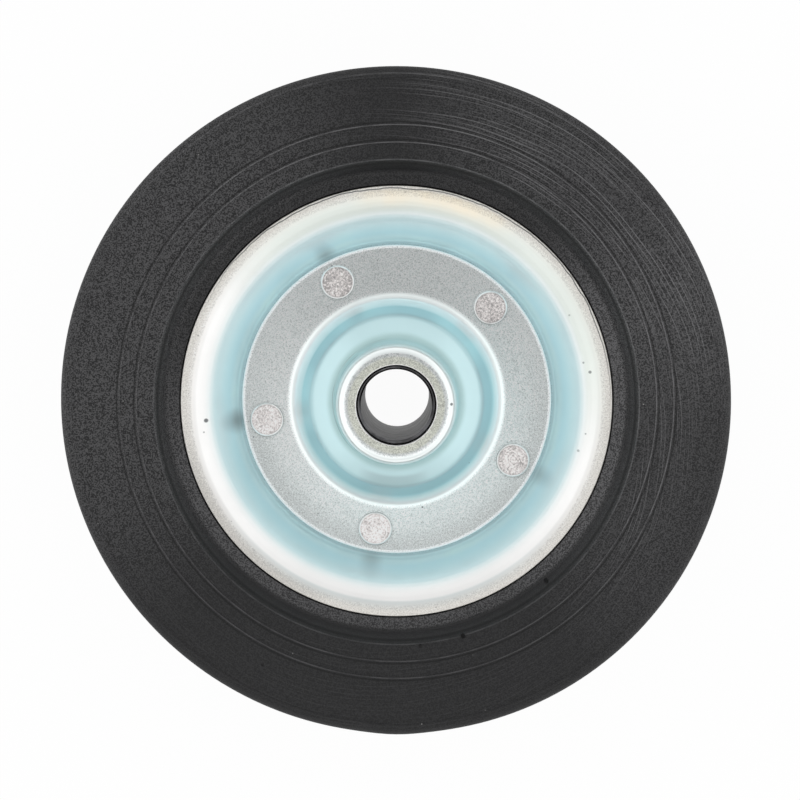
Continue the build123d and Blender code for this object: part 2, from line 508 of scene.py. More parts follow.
class RoundPlace:
    """Where a point lies on the wheel: its radius, height and the direction from the axle."""

    def __init__(self, wiring):
        self.wiring = wiring
        coordinates = wiring.add("TexCoord")
        self.place = coordinates["Object"]
        self.x, self.y, self.z = wiring.parts(self.place)
        self.flat = wiring.point(self.x, self.y, 0.0)
        self.radius = wiring.vector("LENGTH", self.flat)
        self.direction = wiring.vector("NORMALIZE", self.flat)
        self.cosine, self.sine = wiring.parts(self.direction)[:2]
        self.level = abs(wiring.parts(coordinates["Normal"])[2])

    def around(self, per_turn, per_metre, radius=None):
        """Vector for noise that is drawn out round the axle: long streaks, fine across the radius."""
        across = self.radius if radius is None else radius
        fine = across * per_metre + self.z * per_metre
        return self.wiring.point(self.cosine * per_turn, self.sine * per_turn, fine)

    def hairlines(self, per_turn, spacing, radius=None):
        """Thin lines drawn out round the axle, about evenly spaced, each of its own strength.

        They are the crests of a sine of the radius, which noise bends, and finer noise picks from them.
        """
        noise = self.wiring.noise
        across = self.radius if radius is None else radius
        bend = noise(self.around(per_turn, 0.25 / spacing, across), 1.0)
        crest = self.wiring.number("SINE", across * (2 * pi / spacing) + bend * 7.0)
        picked = noise(self.around(2 * per_turn, 0.7 / spacing, across), 1.0, 1.0)
        return crest.fade(0.66, 1.0) * picked.fade(0.38, 0.62)

    def toward(self, degrees, low, high, amount=1.0):
        """Mask with its full amount in a direction seen from the axle, fading out to both sides.

        It rises while the cosine of the angle to that direction goes from low to high.
        """
        there = (cos(radians(degrees)), sin(radians(degrees)), 0.0)
        return self.wiring.vector("DOT_PRODUCT", self.direction, there).fade(low, high, 0.0, amount)

    def ring(self, inner, inner_full, outer_full, outer):
        """Mask between four radii: it comes up between the first two and goes between the last two."""
        return self.radius.fade(inner, inner_full) * self.radius.fade(outer, outer_full)

    def band(self, radius, *offsets):
        """The same mask, its four radii given in millimetres from one radius."""
        return self.ring(*[radius + offset * MM for offset in offsets])

    def line(self, radius, width):
        """Mask of a thin line at a radius."""
        return abs(self.radius - radius).fade(width / 2, width * 0.1)

    def distance(self, x, y):
        """Distance from a line beside the axle, whose x and y are in millimetres."""
        return self.wiring.vector("DISTANCE", self.flat, (x * MM, y * MM, 0.0))

    def spots(self, places, soft=0.5):
        """Mask of round spots, each given by its x, y and size in millimetres and its strength."""
        return sum(
            self.distance(x, y).fade(size * MM, size * soft * MM, 0.0, amount)
            for x, y, size, amount in places
        )

    def scratch(self, start, end, width):
        """Mask of a straight fine scratch between two places given in millimetres.

        It is the distance to the nearest point of the line between them, which lies at a share of its
        length that is kept between 0 and 1.
        """
        wiring = self.wiring
        start, end = Vector((*start, 0.0)) * MM, Vector((*end, 0.0)) * MM
        run = end - start
        off = wiring.vector("SUBTRACT", self.flat, start)
        passed = wiring.vector("DOT_PRODUCT", off, run / run.length_squared)
        passed = wiring.number("MINIMUM", passed, 1.0).most(0.0)
        along = wiring.add("VectorMath", {0: run, "Scale": passed}, operation="SCALE")["Vector"]
        return wiring.vector("DISTANCE", off, along).fade(width * MM, 0.0)


def new_material(name):
    """An empty node material and its wiring."""
    material = bpy.data.materials.new(name)
    material.use_nodes = True
    return material, Wiring(material.node_tree)


def round_material(name):
    """The same with the place of its points on the wheel."""
    material, wiring = new_material(name)
    return material, wiring, RoundPlace(wiring)


def rubber_streaks(wiring, place, tyre):
    """Hairlines left by wiping, not quite round the axle. They are dense from the top round to the right,
    which is partly painted highlight.
    """
    bent = wiring.noise(place.around(1.5, 45.0), 1.0, 1.0) * (5 * MM) + place.distance(-4, -10)
    patchy = wiring.noise(place.around(3.0, 160.0, bent), 1.0).fade(0.40, 0.60)
    lines = place.hairlines(1.2, 1.25 * MM, bent) * 0.75
    lines += place.hairlines(2.5, 0.80 * MM, bent) * patchy * 0.60
    lines += place.hairlines(6.0, 0.66 * MM, bent) * 0.25
    inner_half = place.radius.fade(tyre.radius * 0.93, tyre.radius * 0.80)
    # Painted highlight: the streaks are denser from the top round to the right, where they catch the light
    dense = place.toward(45.0, 0.62, 0.97).most(place.toward(0.0, 0.5, 1.0, 0.60) * inner_half)
    return lines * (dense * 0.92 + 0.08)


def rib_highlight_lines(wiring, place, tyre, side_start):
    """Painted highlights along the ribs and the side's inner edge, broken here and there."""
    broken = wiring.noise(place.around(12.0, 40.0), 1.0).fade(0.38, 0.60, 0.45, 1.0)
    edges = [(side_start + 0.1 * MM, 0.50), (tyre.first_rib, 0.60), (tyre.second_rib, 0.60)]
    lines = sum(place.line(radius, 0.6 * MM) * amount for radius, amount in edges)
    lines += place.line(tyre.outer_rib + 0.9 * MM, 0.8 * MM) * place.toward(100.0, 0.3, 0.9, 0.3)
    # Painted highlights are brighter towards the upper right
    return lines * broken * (place.toward(52.0, -0.3, 0.75) * 0.50 + 0.50)


def rubber_material(tyre, rim):
    """Black moulded rubber: wiping streaks, sandy grain, pale specks and a few torn nicks, with painted
    highlights on the ribs, painted light on the sides and painted shade by the lip and the ribs.
    """
    material, wiring, place = round_material("tyre_rubber")
    ring_edge = rim.lip_radius + tyre.ring_width
    side_start = ring_edge + tyre.slope_width
    on_side = place.radius.fade(side_start + MM, side_start + 4 * MM) * place.level.fade(0.70, 0.95)
    streaks = rubber_streaks(wiring, place, tyre) * on_side
    # Painted highlights on the ribs and the side's inner edge
    lines = rib_highlight_lines(wiring, place, tyre, side_start)
    grain = wiring.noise(place.place, 2100.0, 1.0, 0.6)
    sand = wiring.noise(place.place, 2700.0, 1.0)

    # Dust in the sandy grain, with painted light: the grain is stronger towards the left, right and upper
    # right, the ring beside the lip is lighter towards the right and lower left, the hollow is lighter
    # towards the bottom, and the whole right side is a little lighter
    sand_lit = sand.fade(0.40, 0.60)
    right = place.toward(-5.0, 0.6, 0.95)
    sandy = place.toward(158.0, 0.35, 0.95, 0.36) + right * 0.18 + 0.08
    sandy += place.toward(42.0, 0.65, 0.95, 0.24)
    ring = place.radius.fade(ring_edge, ring_edge - 1.2 * MM)
    ring_lit = place.toward(-8.0, 0.45, 1.0, 0.50) + place.toward(-120.0, 0.1, 0.8, 0.33) + 0.12
    hollow = place.ring(ring_edge - 0.6 * MM, ring_edge + 0.2 * MM, side_start - 0.8 * MM, side_start)
    dust_and_painted_light = sand_lit * sandy * (ring * -0.75 + 1.0) + ring * ring_lit * (sand_lit * 1.3 + 0.35)
    dust_and_painted_light += hollow * place.toward(-80.0, -0.3, 0.6, 0.10) + right * 0.02 + streaks + lines
    base = wiring.blend(wiring.number("MINIMUM", dust_and_painted_light, 1.0), tyre.rubber, tyre.dust)
    cells = wiring.add("TexVoronoi", {"Vector": place.place, "Scale": 260.0}, feature="F1")
    chosen = wiring.parts(cells["Color"])[0].fade(0.925, 0.94)
    specks = Value(wiring, cells["Distance"]).fade(0.075, 0.02) * chosen
    base = wiring.blend(specks, base, (0.26, 0.255, 0.25))
    nicks = place.spots([
        (19.9, -69.3, 0.9, 0.9), (45.2, -53.6, 0.8, 0.8), (7.1, -72.2, 0.7, 0.7), (-40.0, -78.0, 0.5, 0.6),
    ])
    # Painted shade: a near-black line in the gap beside the rim's lip, and dark lines beside the side's
    # inner edge and the ribs
    gap_shade = place.radius.fade(rim.lip_radius + 0.6 * MM, rim.lip_radius + 0.3 * MM, 0.0, 0.9)
    feet = [side_start - 0.7 * MM, tyre.first_rib + 0.8 * MM, tyre.second_rib + 0.8 * MM]
    rib_shade = sum(place.line(radius, 0.8 * MM) for radius in feet) * 0.6
    base = wiring.blend(nicks.most(gap_shade).most(rib_shade), base, (0.003, 0.003, 0.003))

    rough = grain * 0.16 + 0.44 + wiring.noise(place.place, 34.0, 3.0) * 0.12
    sanded = wiring.bump(sand, 0.10 * MM, wiring.bump(grain, 0.05 * MM))
    scored = wiring.bump(streaks + lines, 0.14 * MM, sanded)
    torn = wiring.bump(0.0 - nicks, 0.4 * MM, scored)
    rough = rough.most(gap_shade.most(nicks))
    wiring.finish(base, {"Roughness": rough, "Specular IOR Level": 0.25, "Normal": torn})
    return material


class Zinc:
    """Bright zinc plating built up in coats: grainy on flat pressings, smooth on the drawn walls."""

    def __init__(self, name, bare):
        self.material, self.wiring, self.place = round_material(name)
        self.flat = self.place.level.fade(0.955, 0.992)
        self.grain = self.wiring.noise(self.place.place, 2600.0, 2.0, 0.6, 0.5)
        self.base = bare
        self.rougher = 0.0
        self.dark = self.wiring.noise(self.place.place, 1250.0, 1.0).fade(0.78, 0.84) * self.flat * 0.5

    def coat(self, amount, colour):
        """Lays a colour over the plating."""
        self.base = self.wiring.blend(amount, self.base, colour)

    def shade(self, amount):
        """Dims the plating by a share."""
        self.base = self.wiring.toned(self.base, 1.0 - amount)

    def roughen(self, amount):
        """Adds to the roughness."""
        self.rougher = amount + self.rougher

    def mark(self, amount):
        """Adds dark marks that sink a little: dents and nicks, and painted shade along seams and gaps."""
        self.dark = self.dark.most(amount)

    def finish(self, wall_roughness, flat_roughness, flat_tone, flat_grain):
        """Gives the material its grain, clouds, roughness and relief.

        The flat tone is how bright the flats are beside the walls, and the flat grain is how much their
        grain varies.
        """
        wiring, flat, grain = self.wiring, self.flat, self.grain
        cloud = wiring.noise(self.place.place, 55.0, 3.0, 0.55)
        drawn = wiring.noise(self.place.around(2.0, 700.0), 1.0)
        tone = (grain * flat_grain + (flat_tone - flat_grain / 2 - 1.0)) * flat + 1.0
        base = wiring.toned(self.base, tone * (cloud * 0.12 + 0.94))
        base = wiring.blend(self.dark, base, (0.10, 0.11, 0.115))
        rough = grain * flat * 0.10 + flat.fade(0.0, 1.0, wall_roughness, flat_roughness)
        rough = rough + self.rougher + self.dark * 0.3
        grainy = wiring.bump(grain * flat, 0.035 * MM)
        lined = wiring.bump(drawn * (1.0 - flat), 0.015 * MM, grainy)
        dented = wiring.bump(0.0 - self.dark, 0.06 * MM, lined)
        wiring.finish(base, {"Metallic": 1.0, "Roughness": rough, "Normal": dented})
        return self.material


def rim_material(rim):
    """Zinc of the rim halves: blue down the wall, white at its top, warm on the lip, stained yellow."""
    zinc = Zinc("rim_zinc", rim.bare_zinc)
    wiring, place, edge = zinc.wiring, zinc.place, rim.lip_radius
    wall_top = edge - rim.lip_width
    # Painted shade: the band under the lip is dimmed towards the upper right
    dull = place.ring(wall_top - MM, wall_top + MM, edge - 2.5 * MM, edge - MM)
    zinc.coat(dull * place.toward(68.0, 0.0, 0.65), (0.80, 0.845, 0.80))
    # Painted shade: the same band is cooler and darker towards the bottom
    low = place.band(edge, -5.0, -4.0, -2.5, -1.0)
    zinc.coat(low * place.toward(-92.0, 0.5, 0.95, 0.6), (0.78, 0.87, 0.88))
    blue = place.ring(rim.web_hole - MM, rim.web_hole, rim.wall_foot + 2.2 * MM, wall_top + MM)
    zinc.coat(blue, rim.blue_zinc)
    lip = place.radius.fade(wall_top + 2.5 * MM, edge - MM)
    zinc.coat(lip * 0.9, rim.lip_zinc)
    # Painted shade: the lip is darker towards the lower left
    zinc.shade(lip * place.toward(-140.0, 0.80, 0.98, 0.18))
    spread = wiring.noise(place.place, 130.0, 3.0).fade(0.32, 0.70)
    yellow = place.toward(79.0, 0.90, 0.985) * place.band(edge, -7.5, -3.5, -1.8, -0.5)
    zinc.coat(yellow * (spread * 0.4 + 0.6), rim.stain)
    # Painted shade: a dark, wavering line along the lip's edge beside the tyre, towards the top
    sway = wiring.noise(place.around(9.0, 20.0), 1.0) * (1.5 * MM) + place.radius
    gap_shade = abs(sway - (edge + 0.10 * MM)).fade(0.28 * MM, 0.08 * MM)
    zinc.mark(gap_shade * place.toward(75.0, 0.0, 0.7, 0.8))
    # Painted shade in the corner at the wall's foot, beside the hub's edge
    zinc.shade(place.radius.fade(rim.wall_foot + 0.2 * MM, rim.wall_foot - 0.3 * MM, 0.0, 0.25))
    folded = place.band(rim.wall_foot, -0.5, 0.0, 1.0, 2.5)
    # Painted light: a paler coat at the wall's foot that brightens its dark reflection
    zinc.coat(folded * 0.6, (0.88, 1.0, 1.0))
    zinc.roughen(folded * 0.32)
    # Painted shade: soft dark spots on the wall beside the hub's edge
    painted_shade_spots = [
        (-49.6, -6.4, 5.0, 0.35), (-21.9, 44.6, 4.5, 0.24),
        (44.8, -23.5, 4.5, 0.18), (-8.0, -50.6, 5.0, 0.20),
    ]
    zinc.shade(place.spots(painted_shade_spots, soft=0.0))
    nicks = [
        (-57.6, -5.5, 0.8, 0.8), (-58.2, -9.0, 0.35, 0.5), (58.3, 9.2, 0.6, 0.6), (56.4, 12.0, 0.4, 0.5),
        (57.2, -9.5, 0.35, 0.45), (55.1, -14.7, 0.5, 0.4), (-59.5, 20.2, 0.4, 0.40), (2.6, 63.0, 0.35, 0.4),
        (52.0, 26.3, 0.4, 0.35), (-50.0, -36.0, 0.3, 0.3), (12.0, -62.2, 0.3, 0.4), (31.0, 55.0, 0.25, 0.4),
    ]
    zinc.mark(place.spots(nicks))
    return zinc.finish(rim.wall_roughness, rim.lip_roughness, 0.98, 1.0)


def hub_radii(hub):
    """Radii of the step's foot, the step's top and the neck."""
    step_foot = hub.radius - hub.land_width
    return step_foot, step_foot - hub.step_width, step_foot - hub.step_width - hub.cone_width


def hub_material(hub, rivets):
    """Zinc of the hub flanges: blue on cone and step, grainy grey on the land, warm on the end ring."""
    zinc = Zinc("hub_zinc", hub.bare_zinc)
    place = zinc.place
    step_foot, step_top, neck = hub_radii(hub)
    zinc.coat(place.ring(neck, neck + 2.5 * MM, step_top + 2.5 * MM, step_foot - 0.8 * MM), hub.blue_zinc)
    step = place.ring(step_top - 1.2 * MM, step_top, step_foot - 3.2 * MM, step_foot - 1.8 * MM)
    # Painted highlights: the step's deep coat thins in the directions where it catches the light
    bright = [(45.0, 0.75), (180.0, 0.65), (112.0, 0.30), (-95.0, 0.20), (-135.0, 0.45)]
    step_highlights = sum(place.toward(angle, 0.90, 0.995, amount) for angle, amount in bright)
    zinc.coat(step * (0.85 - step_highlights), hub.deep_zinc)
    # Painted highlight: white on the rounding at the step's foot, strongest towards the upper left
    foot = place.band(step_foot, -3.2, -2.4, -0.5, 0.5)
    zinc.coat(foot * place.toward(110.0, -0.2, 0.5, 0.5), WHITE)
    # Painted shade: the outer part of the cone is darker towards the bottom
    low_cone_shade = place.band(step_top, -4.5, -3.0, -0.5, 0.5)
    zinc.shade(low_cone_shade * place.toward(-92.0, 0.88, 0.99, 0.20))
    # Painted shade: the outer land is darker towards the bottom
    outer = place.radius.fade(step_foot + 5 * MM, hub.radius - 3 * MM)
    zinc.shade(outer * place.toward(-90.0, -0.5, 0.5, 0.15))
    end_ring = place.radius.fade(neck - hub.end_round, neck - hub.end_round - MM)
    zinc.coat(end_ring, hub.warm_zinc)
    zinc.roughen(end_ring * 0.05)
    # Painted reflection: a cooler cast on the land towards the lower right
    cool_reflection = place.ring(step_foot, step_foot + MM, step_foot + 2 * MM, hub.radius)
    zinc.coat(cool_reflection * place.toward(-45.0, -0.6, 0.8, 0.7), (0.87, 1.0, 1.0))
    # Painted highlight: white along the flange's rounded edge
    edge = place.band(hub.radius, -1.1, -0.8, -0.2, 0.0)
    zinc.coat(edge, WHITE)
    zinc.roughen(edge * 0.3)
    neck_foot = place.band(neck, 0.0, 1.2, 2.2, 4.0)
    # Painted shade in the corner at the neck's foot, tinted teal
    zinc.coat(neck_foot * 0.8, (0.52, 0.72, 0.72))
    zinc.roughen(neck_foot * 0.2 + place.band(step_top, -1.6, -0.6, 0.0, 1.0) * 0.3)
    # Painted highlight: a thin white line on the edge of the end's hole
    zinc.coat(place.radius.fade(hub.end_hole + 0.35 * MM, hub.end_hole + 0.1 * MM), WHITE)
    arcs = place.hairlines(1.2, 1.1 * MM) * place.toward(165.0, 0.2, 0.9, 0.3)
    zinc.shade(arcs * place.band(neck, -0.5, 0.0, 1.5, 2.5))
    scratches = [
        ((38.0, 21.5), (36.0, 14.5), 0.16), ((42.5, 3.5), (43.6, -3.5), 0.14),
        ((-37.5, 9.5), (-33.5, 7.0), 0.16), ((24.5, 30.0), (29.0, 27.5), 0.12),
        ((-28.5, -33.0), (-25.0, -36.5), 0.12),
    ]
    zinc.coat(sum(place.scratch(*scratch) for scratch in scratches) * 0.8, WHITE)
    away = rivet_distance(zinc.wiring, place, rivets)
    # Painted shade round each rivet head: a soft dark ring on the land and a thin dark line at its edge
    zinc.shade(away.fade(rivets.head + 1.1 * MM, rivets.head, 0.0, 0.16))
    zinc.mark(away.fade(rivets.head + 0.22 * MM, rivets.head + 0.02 * MM, 0.0, 0.5))
    pits = [
        (16.2, 0.3, 0.55, 0.8), (-26.0, 43.0, 0.35, 0.9), (-20.0, 41.5, 0.3, 0.8),
        (-47.2, 10.0, 0.3, 0.7), (-44.5, -11.5, 0.3, 0.9), (-46.0, -16.5, 0.25, 0.7),
        (-24.5, -35.5, 0.3, 0.7), (8.0, -33.4, 0.35, 0.9), (-32.0, 38.6, 0.25, 0.6),
        (22.4, -19.2, 0.3, 0.3), (-36.4, -27.5, 0.3, 0.4), (34.0, -39.0, 0.25, 0.4),
    ]
    zinc.mark(place.spots(pits))
    return zinc.finish(hub.wall_roughness, hub.land_roughness, hub.land_tone, 1.5)


def rivet_distance(wiring, place, rivets):
    """Distance from the nearest rivet's middle.

    The angle from the axle is folded into one rivet's share of the turn, with the rivet at 0. With the
    circle's radius c, the distance is the root of r r + c c - 2 r c cos(angle).
    """
    step = 2 * pi / rivets.count
    shifted = wiring.number("ARCTAN2", place.y, place.x) - (rivets.first_angle - step / 2 - 2 * pi)
    folded = wiring.number("MODULO", shifted, step) - step / 2
    cross = place.radius * wiring.number("COSINE", folded) * (-2 * rivets.circle)
    return wiring.number("SQRT", place.radius * place.radius + cross + rivets.circle ** 2)


def rivet_material(rivets):
    """Pressed steel heads: mottled pinkish grey with press arcs; painted shade and highlight at the bevel.
    """
    material, wiring, place = round_material("rivet_steel")
    away = rivet_distance(wiring, place, rivets)
    mottle = wiring.noise(place.place, 1750.0, 2.0, 0.6, 0.8)
    patches = wiring.noise(place.place, 300.0)
    swirled = place.toward(-62.0, 0.3, 0.8) * patches.fade(0.35, 0.5)
    rings = (wiring.number("SINE", patches * 30.0 + away * 6500.0) * 0.5 + 0.5) * swirled
    height = mottle * 0.9 + rings * 0.10 + patches * 0.25
    tone = height.fade(0.40, 0.76, 0.55, 1.42) + place.toward(-125.0, -0.2, 0.6, 0.20)
    base = wiring.toned(rivets.steel, tone)
    bevel_start = rivets.head - rivets.bevel - 0.15 * MM
    # Painted shade: the head is darker from just inside its bevel outwards
    head_edge_shade = away.fade(bevel_start - 0.5 * MM, bevel_start - 0.1 * MM, 0.0, 0.35)
    base = wiring.blend(head_edge_shade, base, (0.25, 0.24, 0.24))
    # Painted highlight on the bevel round each head, broken up in patches
    worn = wiring.noise(place.place, 160.0).fade(0.28, 0.52, 0.35, 1.0)
    bevel = away.fade(bevel_start - 0.05 * MM, bevel_start + 0.05 * MM) * worn
    base = wiring.blend(bevel, base, rivets.bevel_highlight)
    normal = wiring.bump(height, 0.07 * MM)
    wiring.finish(base, {"Metallic": 1.0, "Roughness": mottle * 0.2 + 0.34, "Normal": normal})
    return material


def sleeve_material(sleeve):
    """Dark turned plastic with fine lines round the bore, a little dust and painted shade at its end."""
    material, wiring, place = round_material("sleeve_plastic")
    lines = wiring.noise(place.around(1.5, 1500.0), 1.0, 3.0, 0.6)
    grain = wiring.noise(place.place, 2000.0)
    base = wiring.blend(grain.fade(0.55, 0.8, 0.0, 0.5), sleeve.plastic, (0.16, 0.155, 0.15))
    bands = wiring.noise(place.around(1.0, 160.0), 1.0, 3.0, 0.7)
    base = wiring.toned(base, (bands * 0.8 + lines * 0.2).fade(0.42, 0.58, 0.35, 1.75))
    # Painted shade: a near-black ring on the end face under the lip of the hub's hole, and on the bore's
    # chamfer towards the top
    gap_shade = place.radius.fade(sleeve.bore + 0.75 * MM, sleeve.bore + 0.95 * MM)
    chamfer_edge = sleeve.bore + sleeve.chamfer
    broken = place.radius.fade(chamfer_edge + 0.1 * MM, chamfer_edge) * place.level.fade(0.2, 0.5)
    dark = gap_shade.most(broken * place.toward(90.0, -0.6, 0.4))
    base = wiring.blend(dark, base, (0.002, 0.002, 0.002))
    wiring.finish(base, {
        "Roughness": (grain * 0.2 + 0.38).most(dark),
        "Specular IOR Level": dark * -0.45 + 0.5,
        "Normal": wiring.bump(lines, 0.05 * MM, wiring.bump(grain, 0.03 * MM)),
    })
    return material


def floor_material(stage):
    """White floor. What the camera and a glossy surface see of it glows, and the rest takes shadow."""
    material, wiring = new_material("white_floor")
    rays = wiring.add("LightPath")
    seen = wiring.number("ADD", rays["Is Camera Ray"], rays["Is Glossy Ray"])
    seen = wiring.number("ADD", seen, rays["Is Transmission Ray"], clamp=True)
    matt = wiring.add("BsdfDiffuse", {"Color": (0.92, 0.92, 0.92, 1.0)})[0]
    glow = wiring.add("Emission", {"Color": (*WHITE, 1.0), "Strength": 1.0})[0]
    wiring.surface(wiring.add("MixShader", {0: seen * stage.floor_glow, 1: matt, 2: glow})[0])
    return material


# Pieces


class WheelOperator:
    """What every operator of the wheel shares."""

    bl_options = {"REGISTER", "UNDO"}


def pressed_pair(kind, part, loop, turns, material):
    """Makes a pressed sheet for the front of the wheel from its section, and the same one for the rear."""
    points, quads = turned_surface(loop, turns)
    for side, surface in (("front", (points, quads)), ("rear", mirrored(points, quads))):
        piece = new_piece(f"{side}_{kind}_skin", *surface)
        dress(piece, material, f"{side}_{kind}_{part}")


def rim_roundings(rim):
    """Radii of the roundings at the wall's foot and under the lip.

    A corner turns by the wall's slope a, and a rounding that takes the width w of the level face beside
    it has the radius w / tan(a / 2).
    """
    wall_width = rim.lip_radius - rim.lip_width - rim.wall_foot
    tangent = tan(atan2(rim.half_width - rim.sheet, wall_width) / 2)
    return (rim.foot_width - rim.foot_gap) / tangent, (rim.lip_width - rim.lip_flat) / tangent


def wall_back(rim):
    """The rim wall's back face, as its corner under the lip and the way that it runs up to it."""
    foot = np.array([rim.wall_foot, rim.sheet])
    top = np.array([rim.lip_radius - rim.lip_width, rim.half_width])
    along = (top - foot) / np.linalg.norm(top - foot)
    below = np.array([along[1], -along[0]])
    lip = np.array([0.0, -1.0])
    corner = top + rim.sheet * (below + lip) / (1 + below @ lip)
    return corner, along


def tyre_loop(tyre, rim):
    """The tyre's section, from the middle of the tread over the front side, the bead and back.

    The tread's radius falls with the square of the height. The ribs are low trapezia on the side.
    """
    corner, along = wall_back(rim)
    lip_round = rim_roundings(rim)[1]
    toe = corner - along * (corner[0] - tyre.toe) / along[0]
    ring_height = rim.half_width - tyre.ring_drop
    ring_edge = rim.lip_radius + tyre.ring_width
    side = tyre.side_height
    crown_height = np.linspace(0.0, side - tyre.shoulder * 1.4, CROWN_STEPS + 1)[1:]
    crown = np.stack([tyre.radius - tyre.crown * (crown_height / side) ** 2, crown_height], axis=1)
    ribs = np.array([tyre.outer_rib, tyre.second_rib, tyre.first_rib])
    half = tyre.rib_width / 2
    across = np.array([half, 0.4 * half, -0.4 * half, -half])
    lift = np.array([0.0, 1.0, 1.0, 0.0]) * tyre.rib_height
    rib_points = np.stack([ribs[:, None] + across, side + lift + 0 * ribs[:, None]], axis=2)
    gap_foot = ring_height - 2 * LIP_GAP
    seat = [
        (ring_edge + tyre.slope_width, side, SIDE_EDGE_ROUND),
        (ring_edge, ring_height, RING_HOLLOW_ROUND),
        (rim.lip_radius + LIP_GAP, ring_height, GAP_ROUND),
        (rim.lip_radius + 0.05 * MM, gap_foot, 0.0),
        (rim.lip_radius, gap_foot, 0.0),
        (rim.lip_radius, rim.half_width - rim.sheet, 0.0),
        (*corner, lip_round - rim.sheet),
        (*toe, TOE_ROUND),
    ]
    front = np.vstack([
        np.insert(crown, 2, 0.0, axis=1),
        [(tyre.radius - tyre.crown, side, tyre.shoulder)],
        np.insert(rib_points.reshape(-1, 2), 2, RIB_ROUND, axis=1),
        seat,
    ])
    whole = np.vstack([[(tyre.radius, 0.0, 0.0)], front, front[::-1] * (1, -1, 1)])
    return rounded_loop(whole[:, :2], whole[:, 2], TYRE_PACE)


class WHEEL_OT_tyre(WheelOperator, bpy.types.Operator):
    """Make the solid rubber tyre"""

    bl_idname = "wheel.tyre"
    bl_label = "Tyre"

    def execute(self, context):
        """Turns the tyre's section, a little out of round, with a low swelling at the bottom.

        The tread moves out by w times the sum of 0.10 mm, 0.07 cos(a + 125 deg) mm, 0.24 cos(2 a + 58 deg)
        mm, 0.11 cos(3 a - 163 deg) mm and, at the bottom, the bulge times exp(-(x / 9 mm)^2). Here a is the
        angle, x the arc from the bottom, and w is the square of the share of the way from lip to tread.
        """
        tyre, rim = context.scene.wheel.tyre, context.scene.wheel.rim
        loop = tyre_loop(tyre, rim)
        points = turned_grid(loop, TYRE_TURNS)
        angle = np.arange(TYRE_TURNS)[:, None] * (2 * pi / TYRE_TURNS)
        weight = np.clip((loop[None, :, 0] - rim.lip_radius) / (tyre.radius - rim.lip_radius), 0, 1) ** 2
        uneven = 0.10 + 0.07 * np.cos(angle + radians(125)) + 0.24 * np.cos(2 * angle + radians(58))
        uneven = uneven + 0.11 * np.cos(3 * angle - radians(163))
        arc = (np.mod(angle + pi / 2 + pi, 2 * pi) - pi) * tyre.radius
        shift = weight * (uneven * MM + tyre.bulge * np.exp(-((arc / BULGE_WIDTH) ** 2)))
        points[:, :, 0] += shift * np.cos(angle)
        points[:, :, 1] += shift * np.sin(angle)
        piece = new_piece("tyre_skin", points.reshape(-1, 3), closed_quads(TYRE_TURNS, len(loop)))
        dress(piece, rubber_material(tyre, rim), "tyre")
        return {"FINISHED"}


class WHEEL_OT_rim(WheelOperator, bpy.types.Operator):
    """Make the two pressed halves of the rim"""

    bl_idname = "wheel.rim"
    bl_label = "Rim halves"

    def execute(self, context):
        """Makes the two halves from one section.

        The lip's face falls outwards by its drop times the square of the share of its width that is
        passed.
        """
        rim = context.scene.wheel.rim
        wall_top = rim.lip_radius - rim.lip_width
        front = [
            (rim.web_hole, rim.sheet),
            (rim.wall_foot, rim.sheet),
            (wall_top, rim.half_width),
            (rim.lip_radius, rim.half_width),
        ]
        loop = sheet_loop(front, rim_roundings(rim), rim.sheet, rim.edge_round, RIM_PACE)
        passed = np.clip((loop[:, 0] - wall_top) / rim.lip_width, 0, 1)
        on_face = loop[:, 1] > rim.half_width - 0.5 * rim.sheet
        loop[:, 1] -= np.where(on_face, rim.lip_drop * passed ** 2, 0)
        pressed_pair("rim", "half", loop, RIM_TURNS, rim_material(rim))
        return {"FINISHED"}


class WHEEL_OT_hub(WheelOperator, bpy.types.Operator):
    """Make the two stepped hub flanges"""

    bl_idname = "wheel.hub"
    bl_label = "Hub flanges"

    def execute(self, context):
        """Makes the two flanges from one section.

        The land rises inwards by its rise times the square of the share of its width that is passed, and
        that fades again over the step. The land's worn edge falls by its fall times the power of 1.5 of
        the share of the edge's width that is passed.
        """
        settings = context.scene.wheel
        hub, rim = settings.hub, settings.rim
        face = rim.sheet + hub.sheet
        step_foot, step_top, neck = hub_radii(hub)
        cone_foot = face + hub.step_height
        front = [
            (hub.end_hole, hub.end_height),
            (neck, hub.end_height),
            (neck, cone_foot + hub.cone_width * np.tan(hub.cone_slope)),
            (step_top, cone_foot),
            (step_foot, face),
            (hub.radius, face),
        ]
        radii = [hub.end_round, hub.neck_round, hub.step_top_round, hub.step_foot_round]
        loop = sheet_loop(front, radii, hub.sheet, hub.edge_round, HUB_PACE)
        radius, height = loop[:, 0], loop[:, 1]
        passed = np.clip((hub.radius - radius) / hub.land_width, 0, 1)
        below_step = np.clip((radius - step_top) / hub.step_width, 0, 1)
        edge = np.clip((radius - hub.radius + hub.edge_width) / hub.edge_width, 0, 1)
        lift = hub.land_rise * passed ** 2 * below_step - hub.edge_fall * edge ** 1.5
        loop[:, 1] = np.where(height > rim.sheet + 0.5 * hub.sheet, height + lift, height)
        pressed_pair("hub", "flange", loop, HUB_TURNS, hub_material(hub, settings.rivets))
        return {"FINISHED"}


